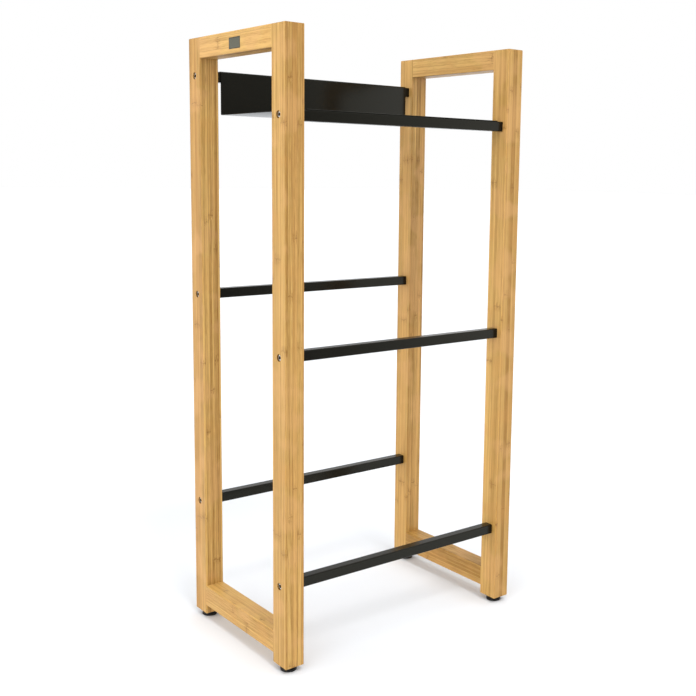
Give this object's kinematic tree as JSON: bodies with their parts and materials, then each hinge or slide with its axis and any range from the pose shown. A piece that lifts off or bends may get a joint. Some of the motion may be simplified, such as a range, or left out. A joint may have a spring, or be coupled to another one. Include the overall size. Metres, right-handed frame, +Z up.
{
  "type": "towel rack",
  "caption": "Free-standing towel rack with bamboo side frames, black square steel bars stepped up towards the back, a hook-on sheet-metal shelf and levelling feet.",
  "frame": {"origin": "on the floor, at the centre of the rack's footprint", "axes": "+X along the bars, from the frame with the badge to the plain one; +Y from the low front bars to the high back bars; +Z up"},
  "size_m": [0.43, 0.268, 0.8925],
  "materials": {
    "bamboo_post": "clear matt lacquer, side-pressed bamboo",
    "bamboo_rail": "clear matt lacquer, side-pressed bamboo",
    "beech_dowel": "plain, fluted",
    "black_powder_coat": "satin powder coat",
    "zinc_steel": "bright zinc plate",
    "zinc_alloy": "dull cast zinc",
    "badge_steel": "fine brushed, dark grey, plain",
    "foot_plastic": "matt black"
  },
  "bodies": {
    "rack": {"left_front_post": "bamboo_post", "left_back_post": "bamboo_post", "left_top_rail": "bamboo_rail", "left_bottom_rail": "bamboo_rail", "left_frame_dowels": "beech_dowel", "left_bar_plugs": "zinc_steel", "left_bar_bolts": "zinc_steel", "right_front_post": "bamboo_post", "right_back_post": "bamboo_post", "right_top_rail": "bamboo_rail", "right_bottom_rail": "bamboo_rail", "right_frame_dowels": "beech_dowel", "right_bar_plugs": "zinc_steel", "right_bar_bolts": "zinc_steel", "badge_plate": "badge_steel", "front_bottom_bar": "black_powder_coat", "front_middle_bar": "black_powder_coat", "front_top_bar": "black_powder_coat", "back_bottom_bar": "black_powder_coat", "back_middle_bar": "black_powder_coat", "back_top_bar": "black_powder_coat", "foot_inserts": "zinc_alloy"},
    "shelf": {"shelf": "black_powder_coat"},
    "left_front_pad": {"left_front_foot_pad": "foot_plastic"},
    "left_front_stud": {"left_front_foot_stud": "zinc_steel"},
    "left_back_pad": {"left_back_foot_pad": "foot_plastic"},
    "left_back_stud": {"left_back_foot_stud": "zinc_steel"},
    "right_front_pad": {"right_front_foot_pad": "foot_plastic"},
    "right_front_stud": {"right_front_foot_stud": "zinc_steel"},
    "right_back_pad": {"right_back_foot_pad": "foot_plastic"},
    "right_back_stud": {"right_back_foot_stud": "zinc_steel"}
  },
  "joints": [
    {"name": "shelf_lift", "type": "slide", "parent": "rack", "child": "shelf", "axis": [0, 0, 1], "range_m": [0, 0.08]},
    {"name": "left_front_foot_height", "type": "slide", "parent": "rack", "child": "left_front_pad", "axis": [0, 0, -1], "range_m": [0, 0.01]},
    {"name": "left_front_foot_turn", "type": "hinge", "parent": "left_front_pad", "child": "left_front_stud", "pos_m": [-0.2, -0.117, 0.008], "axis": [0, 0, -1], "range_deg": [-1, 3601]},
    {"name": "left_back_foot_height", "type": "slide", "parent": "rack", "child": "left_back_pad", "axis": [0, 0, -1], "range_m": [0, 0.01]},
    {"name": "left_back_foot_turn", "type": "hinge", "parent": "left_back_pad", "child": "left_back_stud", "pos_m": [-0.2, 0.117, 0.008], "axis": [0, 0, -1], "range_deg": [-1, 3601]},
    {"name": "right_front_foot_height", "type": "slide", "parent": "rack", "child": "right_front_pad", "axis": [0, 0, -1], "range_m": [0, 0.01]},
    {"name": "right_front_foot_turn", "type": "hinge", "parent": "right_front_pad", "child": "right_front_stud", "pos_m": [0.2, -0.117, 0.008], "axis": [0, 0, -1], "range_deg": [-1, 3601]},
    {"name": "right_back_foot_height", "type": "slide", "parent": "rack", "child": "right_back_pad", "axis": [0, 0, -1], "range_m": [0, 0.01]},
    {"name": "right_back_foot_turn", "type": "hinge", "parent": "right_back_pad", "child": "right_back_stud", "pos_m": [0.2, 0.117, 0.008], "axis": [0, 0, -1], "range_deg": [-1, 3601]}
  ],
  "couplings": [
    {"joint": "left_front_foot_turn", "follows": "left_front_foot_height", "rad_per_m": 6283.2},
    {"joint": "left_back_foot_turn", "follows": "left_back_foot_height", "rad_per_m": 6283.2},
    {"joint": "right_front_foot_turn", "follows": "right_front_foot_height", "rad_per_m": 6283.2},
    {"joint": "right_back_foot_turn", "follows": "right_back_foot_height", "rad_per_m": 6283.2}
  ]
}
